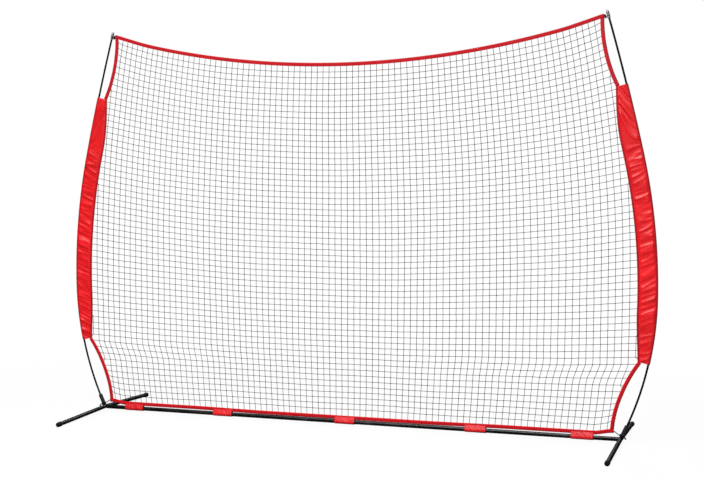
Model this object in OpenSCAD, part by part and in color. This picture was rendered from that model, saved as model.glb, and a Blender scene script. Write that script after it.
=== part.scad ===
// Free-standing barrier net. Two bow poles stand in splayed feet, a base bar in three sections
// holds the feet apart, and the poles stretch a net with bound edges between them.

/* [Base frame] */
// Distance between the two foot hubs
hub_span = 3660; // [2600:10:4600]
// Height of the base bar's axis above the ground
bar_height = 34; // [30:1:60]
// Outside diameter of the base bar and foot tubes
tube_d = 28; // [24:0.5:34]
// Wall of the base bar and foot tubes
tube_wall = 1.5; // [1:0.1:2]
// Wall of the joiners and foot stubs that the bar sections slide over
inner_wall = 1.5; // [1:0.1:2]
// How far a joiner or foot stub reaches into a bar section
joint_reach = 100; // [75:5:160]
// How far a joiner is held in the middle bar section
joiner_grip = 60; // [40:5:120]
// Reach of each foot from the hub to its tip
foot_reach = 630; // [400:5:900]

/* [Foot caps] */
// Outside diameter of the foot caps
cap_d = 33; // [31.5:0.5:40]
// Length of the foot caps
cap_len = 38; // [25:1:60]
// Thickness of a foot cap's closed end
cap_end = 8; // [5:0.5:12]
// Rounding of a foot cap's closed end
cap_round = 7; // [2:0.5:10]
// Depth of the flat sole under the tip of a foot cap
sole_depth = 1.3; // [1.2:0.1:2.2]

/* [Pole sockets] */
// Lean of the pole sockets outwards from upright, in degrees
pole_lean = 24.6; // [18:0.2:28]
// Outside diameter of the pole sockets
socket_d = 27; // [24:0.5:30]
// Wall of the pole sockets
socket_wall = 1.8; // [1.2:0.1:2.5]
// Length of a pole socket above its foot tube
socket_len = 75; // [60:1:110]
// Thickness of a socket's floor above the foot tube
socket_floor_t = 6; // [3:0.5:12]
// Thickness of the bushing's collar on the socket's rim
collar_t = 4; // [2:0.5:8]

/* [Snap buttons] */
// Diameter of the snap buttons
button_d = 8; // [6:0.5:10]
// How far a button stands proud of the bar
button_rise = 3; // [2:0.5:5]
// Distance from the end of a bar section to its button
button_inset = 40; // [30:1:60]
// Width of the shoulder that keeps a button in its hole
shoulder_w = 1.2; // [0.8:0.1:1.5]
// Thickness of a button's shoulder
shoulder_t = 1.2; // [0.8:0.1:2]
// Length of the leaf spring behind a button
spring_len = 42; // [30:1:50]
// Width of the leaf spring
spring_w = 7; // [5:0.5:9]
// Thickness of the leaf spring
spring_t = 0.8; // [0.5:0.1:1.2]

/* [Poles] */
// Diameter of the poles
pole_d = 13; // [10:0.5:15]
// Length of each pole section
section_len = 902; // [830:1:980]
// Bend radius of the lower pole section
bend_lower = 2060; // [1900:10:2400]
// Bend radius of the middle pole section
bend_middle = 4000; // [3600:50:5200]
// Bend radius of the upper pole section
bend_upper = 14500; // [10000:100:20000]
// Length of the ferrules that join the pole sections
ferrule_len = 90; // [60:2:140]
// Wall of the ferrules
ferrule_wall = 0.9; // [0.6:0.1:1.4]

/* [Pole tips] */
// Largest diameter of a tip cap
tip_d = 19; // [18:0.5:26]
// Diameter of the neck that the corner loop sits on
neck_d = 16; // [15.5:0.1:17.5]
// Diameter of the tip cap's blunt nose
nose_d = 12; // [8:0.5:14]
// Length of the tip cap beyond the end of the pole
tip_len = 12; // [5:0.5:20]
// Length of the tip cap's skirt below the corner loop
skirt_len = 12; // [4:0.5:20]
// Distance from the end of the pole down to the corner loop
loop_drop = 26; // [18:1:60]
// Width of the webbing tab that joins a corner loop to the net
tab_w = 26; // [16:1:30]
// Thickness of the webbing tab
tab_t = 4; // [3:0.5:6]
// Reach of the webbing tab's far end from the pole's axis
tab_reach = 27; // [22:1:60]

/* [Net] */
// Width of a cell of the net, at the middle of its height
cell_w = 44; // [38:1:60]
// Height of a cell of the net, at the middle of its width
cell_h = 38; // [34:1:60]
// Diameter of the twine
twine_d = 3; // [2:0.1:3.1]
// Width of the net's weave at its top, as a share of that at mid height
top_pull = 0.92; // [0.88:0.01:0.98]
// Width of the net's weave at its foot, as a share of that at mid height
foot_pull = 0.955; // [0.92:0.005:0.99]

/* [Edge bands] */
// Width of the band that binds the net's edges
band_w = 24; // [18:1:32]
// Thickness of the band that binds the net's edges
band_t = 7; // [6.5:0.5:9]
// Sag of the top band between its corners
top_sag = 236; // [120:2:320]
// Gap between the base bar and the hem
hem_lift = 6; // [3:1:20]
// Distance from a hub to the end of the hem
hem_inset = 42; // [36:1:80]
// Bow of the band above a sleeve
upper_bow = 27; // [15:1:34]
// Bow of the band below a sleeve
lower_bow = 32; // [18:1:38]

/* [Sleeves] */
// Distance along the pole from its foot to the foot of its sleeve
sleeve_start = 487; // [450:1:540]
// Distance along the pole from the head of its sleeve to the pole's end
sleeve_stop = 463; // [400:1:540]
// Width of a sleeve inside its pole, at the middle
sleeve_w = 115; // [85:1:135]
// Width of a sleeve inside its pole, at its ends
sleeve_end_w = 66; // [50:1:80]
// Length over which a sleeve's ends taper
sleeve_taper = 350; // [250:10:600]
// Thickness of the sleeve's cloth
cloth_t = 1.4; // [1:0.1:2]
// Width of the seam that joins a sleeve to the net
seam_w = 14; // [8:1:24]

/* [Straps] */
// Width of the straps that hold the hem to the base bar
strap_w = 140; // [80:5:180]
// Thickness of a strap
strap_t = 2; // [1.5:0.1:3]
// Thickness of a strap at its fold
fold_d = 2.4; // [2.2:0.1:3.4]
// Distance from a hub to the middle of the strap nearest to it
strap_outer = 240; // [190:5:400]
// Distance from the middle strap to the next one
strap_inner = 900; // [780:5:960]

/* [Corner cords] */
// Diameter of the elastic cords at the net's four corners
cord_d = 4; // [3:0.2:5]

/* [Clearances] */
// Gap between pieces that push together
fit_gap = 0.2; // [0.1:0.05:0.3]
// Gap between pieces that lie against each other
seat_gap = 0.3; // [0.2:0.05:0.5]
// Gap between a strap and the bar inside it
strap_gap = 0.6; // [0.5:0.1:1.5]

/* [Hidden] */
$fn = 48;

// Tubes of the base frame
tube_r = tube_d / 2;
bore_r = tube_r - tube_wall;
inner_r = bore_r - fit_gap;
inner_bore_r = inner_r - inner_wall;
hub_x = hub_span / 2;
hub = [hub_x, 0, bar_height];
bar_end_x = hub_x - tube_r - 2 * seat_gap;
bar_joint_x = hub_span / 6;
stub_len = hub_x - bar_end_x + joint_reach;
hub_button_x = bar_end_x - button_inset;
joint_button_x = bar_joint_x + button_inset;
past = 2;

// Feet
tip_axis_z = cap_d / 2 - sole_depth;
foot_drop = atan((bar_height - tip_axis_z) / foot_reach);
leg_len = foot_reach / cos(foot_drop) - cap_end;
cap_grip = cap_len - cap_end;

// Pole sockets
socket_floor = tube_r + socket_floor_t;
socket_top = tube_r + socket_len;
socket_bore_r = socket_d / 2 - socket_wall;
socket_grip = socket_top + collar_t - socket_floor;

// Snap buttons
button_r = button_d / 2;
shoulder_r = button_r + shoulder_w;
shoulder_y = sqrt(pow(inner_bore_r, 2) - pow(shoulder_r, 2)) - seat_gap;
button_foot_y = shoulder_y - shoulder_t;
button_tip_y = tube_r + button_rise;
spring_top_y = button_foot_y - seat_gap;
spring_low_y = -sqrt(pow(inner_bore_r, 2) - pow(spring_w / 2, 2)) + seat_gap;

// A direction along a pole that leans out by a degrees, and the direction square to it
function along(a) = [sin(a), 0, cos(a)];
function outward(a) = [cos(a), 0, -sin(a)];
// The turn, in degrees, of a length of arc
function turn(len, r) = len / r * 180 / PI;
// The point that an arc reaches from p, leaning a, after turning t
function arc_point(p, a, r, t) = p + r * (outward(a - t) - outward(a));
// The arc from p to q that bows by h to the right of the way: start, lean, radius and turn
function arc_between(p, q, h) =
    let (
        chord = norm(q - p),
        r = (chord * chord / 4 + h * h) / (2 * h),
        half = asin(chord / 2 / r)
    )
    [p, atan2(q.x - p.x, q.z - p.z) + half, r, 2 * half];
// The same arc, longer by d at each end
function arc_longer(arc, d) =
    let (t = turn(d, arc[2]))
    [arc_point(arc[0], arc[1], arc[2], -t), arc[1] + t, arc[2], arc[3] + 2 * t];
// The point at a share k of an arc, shifted by d away from the arc's centre
function arc_share(arc, k, d) =
    arc_point(arc[0], arc[1], arc[2], k * arc[3]) + d * outward(arc[1] - k * arc[3]);
// The rest of an arc from a share k of it, longer by d at its end
function arc_rest(arc, k, d) =
    [arc_share(arc, k, 0), arc[1] - k * arc[3], arc[2], (1 - k) * arc[3] + turn(d, arc[2])];

// The right pole's axis: a bend for each section, with the socket along its first chord
bends = [bend_lower, bend_middle, bend_upper];
socket_slack = pow(socket_grip, 2) / (8 * bend_lower);
function section_lean(i) =
    i == 0 ? pole_lean + turn(socket_grip, bend_lower) / 2
    : section_lean(i - 1) - turn(section_len, bends[i - 1]);
function section_point(i) =
    i == 0 ? hub + (socket_floor + seat_gap) * along(pole_lean)
    : arc_point(section_point(i - 1), section_lean(i - 1), bends[i - 1],
        turn(section_len, bends[i - 1]));
function section_of(s) = min(2, floor(s / section_len));
function section_turn(s) = turn(s - section_of(s) * section_len, bends[section_of(s)]);
function pole_point(s) =
    let (i = section_of(s))
    arc_point(section_point(i), section_lean(i), bends[i], section_turn(s));
function pole_angle(s) = section_lean(section_of(s)) - section_turn(s);
pole_end = 3 * section_len;

// Pole fittings
pole_r = pole_d / 2;
ferrule_bore_r = pole_r + 2 * fit_gap;
ferrule_r = ferrule_bore_r + ferrule_wall;
loop_s = pole_end - loop_drop;
loop_r = neck_d / 2 + seat_gap + cord_d / 2;
groove_half = cord_d / 2 + seat_gap;

// The right sleeve's cross-section, at a share k of its length
sleeve_rings = 28;
sleeve_steps = 8;
sleeve_r = ferrule_r + 2 * seat_gap + cloth_t;
sleeve_len = pole_end - sleeve_start - sleeve_stop;
function sleeve_s(k) = sleeve_start + k * sleeve_len;
function sleeve_in(k) =
    sleeve_end_w
    + (sleeve_w - sleeve_end_w) * sin(90 * min(1, min(k, 1 - k) * sleeve_len / sleeve_taper));
function sleeve_place(k, u, y) =
    pole_point(sleeve_s(k)) + u * outward(pole_angle(sleeve_s(k))) + [0, y, 0];
function half_round(r) =
    [for (i = [0:sleeve_steps]) let (t = 180 * i / sleeve_steps - 90) r * [cos(t), sin(t)]];
function sleeve_skin(k) =
    concat(half_round(sleeve_r), [[-sleeve_in(k), band_t / 2], [-sleeve_in(k), -band_t / 2]]);
function sleeve_pocket(k) =
    let (
        end = sleeve_in(k) - seam_w,
        half = band_t / 2 + (sleeve_r - band_t / 2) * seam_w / sleeve_in(k) - cloth_t
    )
    concat(half_round(sleeve_r - cloth_t), [[-end, half], [-end, -half]]);

// The bands on the net's edges, on the right side and from the top down
hem_top = bar_height + tube_r + hem_lift + band_w;
hem_z = hem_top - band_w / 2;
hem_end = hub_x - hem_inset;
corner = pole_point(loop_s) - (tab_reach + seat_gap) * outward(pole_angle(loop_s));
top_arc = arc_between([-corner.x, 0, corner.z], corner, top_sag);
top_centre = [0, 0, corner.z - top_sag + top_arc[2]];
top_edge_r = top_arc[2] + band_w / 2;
upper_arc = arc_between(corner - band_w / 2 * outward(pole_angle(loop_s)),
    sleeve_place(1, band_w / 2 - sleeve_in(1), 0), upper_bow);
lower_arc = arc_between(sleeve_place(0, band_w / 2 - sleeve_in(0), 0),
    [hem_end - band_w / 2, 0, hem_top], lower_bow);
band_spare = 1.5 * band_w;

// The net's edge on the right side, as pairs of height and width from the hem up
edge_steps = 40;
function edge_pair(p) = [p.z, p.x];
function band_edge(arc) =
    [for (i = [edge_steps:-1:0]) edge_pair(arc_share(arc, i / edge_steps, band_w / 2))];
sleeve_edge = [
    for (i = [0:sleeve_rings])
        let (k = i / sleeve_rings)
        edge_pair(sleeve_place(k, -sleeve_in(k), 0))
];
sleeve_low_z = sleeve_edge[0][0];
sleeve_high_z = sleeve_edge[sleeve_rings][0];
net_edge = concat(
    [for (e = band_edge(lower_arc)) if (e[0] < sleeve_low_z - 1) e],
    sleeve_edge,
    [for (e = band_edge(upper_arc)) if (e[0] > sleeve_high_z + 1) e]
);
function edge_x(z) = lookup(z, net_edge);
function edge_tilt(z) = atan((edge_x(z + 1) - edge_x(z - 1)) / 2);

// Twines: those across lie in front of the uprights
twine_r = twine_d / 2;
layer_y = twine_r + seat_gap / 2;
straight_r = 200000;
top_low_z = top_centre.z - top_edge_r;
corner_low_z = corner.z - band_w / 2;
row_count = round((top_low_z - hem_top) / cell_h) - 1;
column_count = ceil(max([for (e = net_edge) e[1]]) / cell_w);
function row_z(i) = hem_top + (top_low_z - hem_top) * i / (row_count + 1);
function row_sag(i) = (corner_low_z - top_low_z) * i / (row_count + 1);
function row_r(i) = (pow(corner.x, 2) + pow(row_sag(i), 2)) / (2 * row_sag(i));
function row_rise(i, x) = row_r(i) - sqrt(pow(row_r(i), 2) - x * x);
function row_stop(i, x, z) =
    edge_x(z) - seat_gap - twine_r * abs(tan(edge_tilt(z) + asin(x / row_r(i))));
function row_end(i, x, tries) =
    tries == 0 ? x : row_end(i, row_stop(i, x, row_z(i) + row_rise(i, x)), tries - 1);

// An upright at x at mid height, and the heights where the net's edges cut it
function upright_arc(x) =
    arc_between([x * foot_pull, 0, hem_top], [x * top_pull, 0, corner.z],
        x * (1 - (foot_pull + top_pull) / 2));
function upright_turn(arc, z) =
    arc[1] - asin(sin(arc[1]) - (z - arc[0].z) / arc[2]);
function upright_x(arc, z) = arc_point(arc[0], arc[1], arc[2], upright_turn(arc, z)).x;
function top_room(x, z) =
    norm([x, 0, z] - top_centre) - top_edge_r - twine_r * x / top_edge_r - seat_gap;
function side_room(x, z) = (edge_x(z) - x) * cos(edge_tilt(z)) - twine_r - seat_gap;
function room(arc, z) =
    let (x = upright_x(arc, z))
    min(top_room(x, z), side_room(x, z));
function cut_z(arc, free, shut, tries) =
    tries == 0 ? free
    : let (mid = (free + shut) / 2)
      room(arc, mid) > 0 ? cut_z(arc, mid, shut, tries - 1) : cut_z(arc, free, mid, tries - 1);
scan_step = 10;
function upright_span(arc) =
    let (
        free = [
            for (z = [hem_top + seat_gap:scan_step:corner.z]) if (room(arc, z) > 0) z
        ],
        count = len(free)
    )
    count < 2 ? [0, 0]
    : [
        free[0] < hem_top + scan_step ? free[0] : cut_z(arc, free[0], free[0] - scan_step, 12),
        cut_z(arc, free[count - 1], free[count - 1] + scan_step, 12)
    ];

// Straps round the base bar, seen along the bar
strap_r = tube_r + strap_gap;
hem_face = [band_t / 2 + seat_gap, hem_z - bar_height];
strap_rise = sqrt(pow(norm(hem_face), 2) - pow(strap_r, 2));
strap_turn = atan2(hem_face.y, hem_face.x) - acos(strap_r / norm(hem_face));
fold_z = bar_height - strap_r - strap_t / 2;
fold_turn = asin((fold_d / 2 + seat_gap) / strap_r);
strap_far_x = hub_x - strap_outer;

module on_left() {
    mirror([1, 0, 0]) children();
}

// A profile swept along an arc, with its x away from the arc's centre
module sweep(arc) {
    translate(arc[0])
        rotate([90, 0, 0])
            rotate([0, 0, -arc[1]])
                translate([-arc[2], 0, 0])
                    rotate_extrude(angle = arc[3], $fn = ceil(24 * 360 / arc[3]))
                        translate([arc[2], 0]) children();
}

// A straight rod between two points
module rod(p, q, d) {
    way = q - p;
    translate(p)
        rotate([0, acos(way.z / norm(way)), atan2(way.y, way.x)])
            cylinder(d = d, h = norm(way));
}

// The frame of the right pole at a distance s from its foot: z along the pole, x away from the net
module at_pole(s) {
    translate(pole_point(s)) rotate([0, pole_angle(s), 0]) children();
}

module along_bar(x_from, x_to, r) {
    translate([x_from, 0, bar_height]) rotate([0, 90, 0]) cylinder(r = r, h = x_to - x_from);
}

module button_hole(x) {
    translate([x, 0, bar_height])
        rotate([-90, 0, 0]) cylinder(r = button_r + seat_gap, h = tube_d);
}

// Base frame
module leg(side, r, len) {
    translate(hub)
        rotate([side > 0 ? -90 - foot_drop : 90 + foot_drop, 0, 0])
            translate([0, 0, -past]) cylinder(r = r, h = len + past);
}

module half_leg(side, r, len) {
    intersection() {
        leg(side, r, len);
        translate([hub_x - tube_d, side > 0 ? 0 : -2 * foot_reach, -tube_d])
            cube([2 * tube_d, 2 * foot_reach, 4 * tube_d]);
    }
}

module foot() {
    difference() {
        union() {
            half_leg(1, tube_r, leg_len);
            half_leg(-1, tube_r, leg_len);
            along_bar(hub_x - stub_len, hub_x, inner_r);
            translate(hub) rotate([0, pole_lean, 0]) cylinder(d = socket_d, h = socket_top);
        }
        half_leg(1, bore_r, leg_len + past);
        half_leg(-1, bore_r, leg_len + past);
        along_bar(hub_x - stub_len - past, hub_x - tube_r - past, inner_bore_r);
        button_hole(hub_button_x);
        translate(hub)
            rotate([0, pole_lean, 0])
                translate([0, 0, socket_floor])
                    cylinder(r = socket_bore_r, h = socket_len);
    }
}

module cap_profile() {
    difference() {
        union() {
            square([cap_d / 2, cap_len - cap_round]);
            square([cap_d / 2 - cap_round, cap_len]);
            translate([cap_d / 2 - cap_round, cap_len - cap_round]) circle(r = cap_round);
        }
        translate([-cap_d, -past]) square([cap_d, cap_len + 2 * past]);
        translate([-past, -past]) square([tube_r + fit_gap + past, cap_grip + fit_gap + past]);
    }
}

module cap(side) {
    difference() {
        translate(hub)
            rotate([side > 0 ? -90 - foot_drop : 90 + foot_drop, 0, 0])
                translate([0, 0, leg_len - cap_grip]) rotate_extrude() cap_profile();
        translate([0, -2 * foot_reach, -cap_d]) cube([hub_span, 4 * foot_reach, cap_d]);
    }
}

module outer_bar() {
    difference() {
        along_bar(bar_joint_x + seat_gap / 2, bar_end_x, tube_r);
        along_bar(bar_joint_x - past, bar_end_x + past, bore_r);
        button_hole(joint_button_x);
        button_hole(hub_button_x);
    }
}

module middle_bar() {
    difference() {
        along_bar(-bar_joint_x + seat_gap / 2, bar_joint_x - seat_gap / 2, tube_r);
        along_bar(-bar_joint_x - past, bar_joint_x + past, bore_r);
    }
}

module joiner() {
    difference() {
        along_bar(bar_joint_x - joiner_grip, bar_joint_x + joint_reach, inner_r);
        along_bar(bar_joint_x - joiner_grip - past, bar_joint_x + joint_reach + past, inner_bore_r);
        button_hole(joint_button_x);
    }
}

// Snap buttons, which point to the rear
module button(x) {
    translate([x, 0, bar_height]) rotate([-90, 0, 0]) {
        intersection() {
            translate([0, 0, button_foot_y]) cylinder(r = button_r, h = button_tip_y);
            translate([0, 0, button_tip_y - 1.5 * button_r]) sphere(r = 1.5 * button_r);
        }
        translate([0, 0, button_foot_y]) cylinder(r = shoulder_r, h = shoulder_t);
    }
}

// A leaf bent into a V, with one leg under the button and one on the far wall
module spring(x) {
    bend_y = (spring_top_y + spring_low_y) / 2;
    translate([x, 0, bar_height])
        linear_extrude(height = spring_w, center = true)
            polygon([
                [shoulder_r, spring_top_y], [-shoulder_r, spring_top_y],
                [-spring_len, bend_y + spring_t], [-spring_len - spring_t, bend_y],
                [-spring_len, bend_y - spring_t], [shoulder_r, spring_low_y],
                [shoulder_r, spring_low_y + spring_t], [2 * spring_t - spring_len, bend_y],
                [-shoulder_r, spring_top_y - spring_t], [shoulder_r, spring_top_y - spring_t]
            ]);
}

// Poles and their fittings
module bushing() {
    translate(hub) rotate([0, pole_lean, 0]) difference() {
        union() {
            translate([0, 0, socket_floor + seat_gap])
                cylinder(r = socket_bore_r - fit_gap, h = socket_top - socket_floor);
            translate([0, 0, socket_top + fit_gap]) cylinder(d = socket_d, h = collar_t - fit_gap);
        }
        translate([0, 0, tube_r])
            cylinder(r = pole_r + fit_gap + socket_slack, h = socket_top + collar_t);
    }
}

module pole_section(i) {
    sweep([section_point(i), section_lean(i), bends[i], turn(section_len - seat_gap, bends[i])])
        circle(r = pole_r);
}

// A tube over the joint below section i, bent as the mean of the two sections
module ferrule(i) {
    bend = 2 / (1 / bends[i - 1] + 1 / bends[i]);
    half = turn(ferrule_len / 2, bend);
    sweep([
        arc_point(section_point(i), section_lean(i), bend, -half), section_lean(i) + half,
        bend, 2 * half
    ]) difference() {
        circle(r = ferrule_r);
        circle(r = ferrule_bore_r);
    }
}

// A cap on the pole's end, with a groove for the corner loop
module tip() {
    bore = pole_r + fit_gap;
    tip_r = tip_d / 2;
    top = loop_drop + tip_len;
    at_pole(loop_s)
        rotate_extrude()
            polygon([
                [bore, -groove_half - skirt_len], [tip_r, -groove_half - skirt_len],
                [tip_r, -groove_half], [neck_d / 2, -groove_half],
                [neck_d / 2, groove_half], [tip_r, groove_half],
                [tip_r, loop_drop], [nose_d / 2, top - past], [nose_d / 2 - past, top],
                [0, top], [0, loop_drop + seat_gap], [bore, loop_drop + seat_gap]
            ]);
}

// An elastic ring in the tip's groove, held by a webbing tab on the net's corner
module loop() {
    at_pole(loop_s) {
        rotate_extrude() translate([loop_r, 0]) circle(d = cord_d);
        translate([-tab_reach, -tab_t / 2, -tab_w / 2])
            cube([tab_reach - tip_d / 2 - 2 * seat_gap, tab_t, tab_w]);
    }
}

// An elastic cord from the hem's end to a ring round the pole socket
module cord() {
    ring_s = socket_floor;
    ring_r = socket_d / 2 + seat_gap + cord_d / 2;
    ring_centre = hub + ring_s * along(pole_lean);
    translate(ring_centre)
        rotate([0, pole_lean, 0]) rotate_extrude() translate([ring_r, 0]) circle(d = cord_d);
    rod([hem_end + seat_gap, 0, hem_z], ring_centre - ring_r * outward(pole_lean), 0.85 * cord_d);
}

// A cloth pocket round the pole, sewn to the net along its inner edge
module sleeve() {
    loop_count = sleeve_steps + 3;
    skin = [
        for (i = [0:sleeve_rings])
            let (k = i / sleeve_rings)
            for (p = sleeve_skin(k)) sleeve_place(k, p.x, p.y)
    ];
    pocket = [
        for (i = [0:sleeve_rings])
            let (k = i / sleeve_rings)
            for (p = sleeve_pocket(k)) sleeve_place(k, p.x, p.y)
    ];
    first = len(skin);
    last = sleeve_rings * loop_count;
    function next(j) = (j + 1) % loop_count;
    walls = [
        for (i = [0:sleeve_rings - 1], j = [0:loop_count - 1])
            let (a = i * loop_count + j, b = i * loop_count + next(j), up = loop_count)
            each [
                [a, a + up, b], [b, a + up, b + up],
                [first + a, first + b, first + a + up], [first + b, first + b + up, first + a + up]
            ]
    ];
    ends = [
        for (j = [0:loop_count - 1])
            let (a = j, b = next(j))
            each [
                [a, b, first + a], [b, first + b, first + a],
                [last + a, first + last + a, last + b],
                [last + b, first + last + a, first + last + b]
            ]
    ];
    polyhedron(points = concat(skin, pocket), faces = concat(walls, ends));
}

// Bands on the edges of the net
module band_profile() {
    square([band_w, band_t], center = true);
}

// Half of the top band, from its lowest point to the corner's tab
module top_half() {
    difference() {
        sweep(arc_rest(top_arc, 0.5, band_w / 2)) band_profile();
        at_pole(loop_s)
            translate([-tab_reach - seat_gap, -band_w, -2 * band_w])
                cube([4 * band_w, 2 * band_w, 4 * band_w]);
    }
}

module top_edge() {
    top_half();
    on_left() top_half();
}

module hem() {
    translate([-hem_end, -band_t / 2, hem_top - band_w]) cube([2 * hem_end, band_t, band_w]);
}

module upper_edge() {
    difference() {
        sweep(arc_longer(upper_arc, band_spare)) band_profile();
        sweep(arc_rest(top_arc, 0.985, band_w))
            translate([-2 * band_spare, -band_t])
                square([2 * band_spare + band_w / 2 + seat_gap, 2 * band_t]);
        at_pole(sleeve_s(1))
            translate([-2 * sleeve_w, -band_w, -4 * band_w])
                cube([4 * sleeve_w, 2 * band_w, 4 * band_w + seat_gap]);
    }
}

module lower_edge() {
    difference() {
        sweep(arc_longer(lower_arc, band_spare)) band_profile();
        translate([0, -band_w, 0]) cube([hub_span, 2 * band_w, hem_top + seat_gap]);
        at_pole(sleeve_s(0))
            translate([-2 * sleeve_w, -band_w, -seat_gap])
                cube([4 * sleeve_w, 2 * band_w, 4 * band_w]);
    }
}

// Net
module cross_twine(i) {
    x = row_end(i, edge_x(row_z(i)), 6);
    half = asin(x / row_r(i));
    end_z = row_z(i) + row_rise(i, x);
    if (row_r(i) > straight_r)
        rod([-x, -layer_y, end_z], [x, -layer_y, end_z], twine_d);
    else
        sweep([[-x, -layer_y, end_z], 90 + half, row_r(i), 2 * half]) circle(r = twine_r, $fn = 16);
}

module upright_twine(j) {
    arc = upright_arc((j + 0.5) * cell_w);
    span = upright_span(arc);
    low = upright_turn(arc, span[0]);
    high = upright_turn(arc, span[1]);
    start = arc_point(arc[0], arc[1], arc[2], low) + [0, layer_y, 0];
    if (span[1] - span[0] > 2 * cell_h) {
        if (arc[2] > straight_r)
            rod(start, arc_point(arc[0], arc[1], arc[2], high) + [0, layer_y, 0], twine_d);
        else
            sweep([start, arc[1] - low, arc[2], high - low]) circle(r = twine_r, $fn = 16);
    }
}

// Straps that hold the hem to the bar: a sewn half behind it, and a flap that folds open in front
module strap_half(x, from_turn) {
    span = strap_turn + 90 - from_turn;
    translate([x, 0, bar_height]) rotate([90, 0, 90]) rotate([0, 0, strap_turn])
        translate([0, 0, -strap_w / 2]) {
            mirror([0, 1, 0])
                rotate_extrude(angle = span) translate([strap_r, 0]) square([strap_t, strap_w]);
            translate([strap_r, 0, 0]) cube([strap_t, strap_rise, strap_w]);
        }
}

module strap(x) {
    strap_half(x, fold_turn);
}

module flap(x) {
    mirror([0, 1, 0]) strap_half(x, 0);
    translate([x - strap_w / 2, 0, fold_z]) rotate([0, 90, 0]) cylinder(d = fold_d, h = strap_w);
}

// Named pieces
module foot_left() { color("dimgray") on_left() foot(); }
module foot_right() { color("dimgray") foot(); }
module cap_left_front() { color("black") on_left() cap(-1); }
module cap_left_rear() { color("black") on_left() cap(1); }
module cap_right_front() { color("black") cap(-1); }
module cap_right_rear() { color("black") cap(1); }
module bar_left() { color("dimgray") on_left() outer_bar(); }
module bar_middle() { color("gray") middle_bar(); }
module bar_right() { color("dimgray") outer_bar(); }
module joiner_left() { color("silver") on_left() joiner(); }
module joiner_right() { color("silver") joiner(); }
module button_hub_left() { color("silver") on_left() button(hub_button_x); }
module button_joint_left() { color("silver") on_left() button(joint_button_x); }
module button_joint_right() { color("silver") button(joint_button_x); }
module button_hub_right() { color("silver") button(hub_button_x); }
module spring_hub_left() { color("steelblue") on_left() spring(hub_button_x); }
module spring_joint_left() { color("steelblue") on_left() spring(joint_button_x); }
module spring_joint_right() { color("steelblue") spring(joint_button_x); }
module spring_hub_right() { color("steelblue") spring(hub_button_x); }
module bushing_left() { color("black") on_left() bushing(); }
module bushing_right() { color("black") bushing(); }
module pole_lower_left() { color("black") on_left() pole_section(0); }
module pole_middle_left() { color("dimgray") on_left() pole_section(1); }
module pole_upper_left() { color("black") on_left() pole_section(2); }
module pole_lower_right() { color("black") pole_section(0); }
module pole_middle_right() { color("dimgray") pole_section(1); }
module pole_upper_right() { color("black") pole_section(2); }
module ferrule_lower_left() { color("silver") on_left() ferrule(1); }
module ferrule_upper_left() { color("silver") on_left() ferrule(2); }
module ferrule_lower_right() { color("silver") ferrule(1); }
module ferrule_upper_right() { color("silver") ferrule(2); }
module tip_left() { color("silver") on_left() tip(); }
module tip_right() { color("silver") tip(); }
module loop_left() { color("black") on_left() loop(); }
module loop_right() { color("black") loop(); }
module cord_left() { color("dimgray") on_left() cord(); }
module cord_right() { color("dimgray") cord(); }
module sleeve_left() { color("red") on_left() sleeve(); }
module sleeve_right() { color("red") sleeve(); }
module top_band() { color("firebrick") top_edge(); }
module hem_band() { color("firebrick") hem(); }
module upper_band_left() { color("firebrick") on_left() upper_edge(); }
module upper_band_right() { color("firebrick") upper_edge(); }
module lower_band_left() { color("firebrick") on_left() lower_edge(); }
module lower_band_right() { color("firebrick") lower_edge(); }
module net_cross_twines() { color("black") for (i = [1:row_count]) cross_twine(i); }
module net_upright_twines() {
    color("black") for (j = [0:column_count - 1]) {
        upright_twine(j);
        on_left() upright_twine(j);
    }
}
module strap_far_left() { color("red") strap(-strap_far_x); }
module strap_left() { color("red") strap(-strap_inner); }
module strap_middle() { color("red") strap(0); }
module strap_right() { color("red") strap(strap_inner); }
module strap_far_right() { color("red") strap(strap_far_x); }
module flap_far_left() { color("tomato") flap(-strap_far_x); }
module flap_left() { color("tomato") flap(-strap_inner); }
module flap_middle() { color("tomato") flap(0); }
module flap_right() { color("tomato") flap(strap_inner); }
module flap_far_right() { color("tomato") flap(strap_far_x); }

foot_left();
foot_right();
cap_left_front();
cap_left_rear();
cap_right_front();
cap_right_rear();
bar_left();
bar_middle();
bar_right();
joiner_left();
joiner_right();
button_hub_left();
button_joint_left();
button_joint_right();
button_hub_right();
spring_hub_left();
spring_joint_left();
spring_joint_right();
spring_hub_right();
bushing_left();
bushing_right();
pole_lower_left();
pole_middle_left();
pole_upper_left();
pole_lower_right();
pole_middle_right();
pole_upper_right();
ferrule_lower_left();
ferrule_upper_left();
ferrule_lower_right();
ferrule_upper_right();
tip_left();
tip_right();
loop_left();
loop_right();
cord_left();
cord_right();
sleeve_left();
sleeve_right();
top_band();
hem_band();
upper_band_left();
upper_band_right();
lower_band_left();
lower_band_right();
net_cross_twines();
net_upright_twines();
strap_far_left();
strap_left();
strap_middle();
strap_right();
strap_far_right();
flap_far_left();
flap_left();
flap_middle();
flap_right();
flap_far_right();
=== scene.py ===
import math

import bmesh
import bpy
from mathutils import Matrix, Vector, noise


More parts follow.
